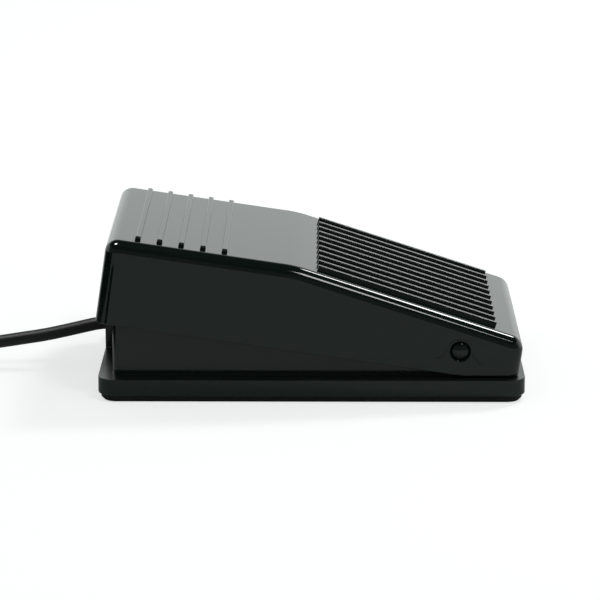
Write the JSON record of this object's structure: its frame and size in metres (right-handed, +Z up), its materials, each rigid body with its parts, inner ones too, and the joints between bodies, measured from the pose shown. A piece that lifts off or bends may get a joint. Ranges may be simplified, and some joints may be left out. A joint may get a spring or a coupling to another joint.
{
  "type": "usb foot pedal switch",
  "caption": "Wedge-shaped USB foot pedal: a ridged glossy cover rocks on side pins over a weighted base, presses a lever switch and springs back; the cord is coiled and ends in its plug.",
  "frame": {"origin": "on the floor, under the middle of the base (without the cord)", "axes": "+X along the base towards the hinged low end, +Y across the base to the right-hand side of a user who faces the low end, +Z up"},
  "size_m": [0.212, 0.0873, 0.0393],
  "materials": {
    "cover_gloss_black": "glossy moulded plastic",
    "base_gloss_black": "glossy moulded plastic",
    "weight_steel": "zinc-plated sheet",
    "screw_zinc": "zinc-plated",
    "pad_rubber": "matt sheet rubber",
    "pin_black": "satin moulded plastic",
    "spring_steel": "drawn spring wire",
    "board_green": "solder mask",
    "chip_black": "moulded epoxy",
    "crystal_metal": "drawn can",
    "capacitor_sleeve": "shrink sleeve",
    "switch_black": "moulded plastic",
    "terminal_brass": "tinned brass",
    "lever_steel": "stamped spring steel",
    "plunger_red": "moulded plastic",
    "nylon_white": "natural nylon",
    "wire_red": "soft vinyl",
    "wire_white": "soft vinyl",
    "wire_green": "soft vinyl",
    "wire_black": "soft vinyl",
    "grommet_rubber": "soft rubber",
    "cord_vinyl": "semi-gloss soft vinyl",
    "tie_strap": "woven strap",
    "plug_vinyl": "soft moulded vinyl",
    "plug_steel": "nickel-plated sheet",
    "tongue_white": "moulded plastic",
    "contact_gold": "gold flash"
  },
  "bodies": {
    "base": {"base_housing": "base_gloss_black", "weight_plate": "weight_steel", "plate_screws": "screw_zinc", "board_screws": "screw_zinc", "anti_slip_pad": "pad_rubber", "hinge_pin_left": "pin_black", "hinge_pin_right": "pin_black", "return_spring": "spring_steel", "circuit_board": "board_green", "controller_chip": "chip_black", "crystal": "crystal_metal", "capacitors": "capacitor_sleeve", "switch_housing": "switch_black", "switch_terminals": "terminal_brass", "board_header": "nylon_white", "wire_connector": "nylon_white", "wire_red": "wire_red", "wire_white": "wire_white", "wire_green": "wire_green", "wire_black": "wire_black", "cord_grommet": "grommet_rubber", "cord_run": "cord_vinyl", "cord_coil": "cord_vinyl", "cord_tail": "cord_vinyl", "cord_tie": "tie_strap", "plug_grip": "plug_vinyl", "plug_shell": "plug_steel", "plug_tongue": "tongue_white", "plug_contacts": "contact_gold"},
    "pedal": {"pedal_cover": "cover_gloss_black"},
    "lever": {"switch_lever": "lever_steel"},
    "plunger": {"switch_plunger": "plunger_red"}
  },
  "joints": [
    {"name": "pedal_hinge", "type": "hinge", "parent": "base", "child": "pedal", "pos_m": [0.0354, 0, 0.01225], "axis": [0, -1, 0], "range_deg": [0, 8], "stiffness_Nm_per_rad": 4.9, "springref_deg": -3.72, "deforming": ["return_spring"]},
    {"name": "lever_pivot", "type": "hinge", "parent": "base", "child": "lever", "pos_m": [0.01, 0, 0.0202], "axis": [0, -1, 0], "range_deg": [0, 22]},
    {"name": "plunger_slide", "type": "slide", "parent": "base", "child": "plunger", "axis": [0, 0, -1], "range_m": [0, 0.0013]}
  ],
  "couplings": [
    {"joint": "lever_pivot", "follows": "pedal_hinge", "ratio": 2.7026},
    {"joint": "plunger_slide", "follows": "pedal_hinge", "m_per_rad": 0.00837}
  ]
}
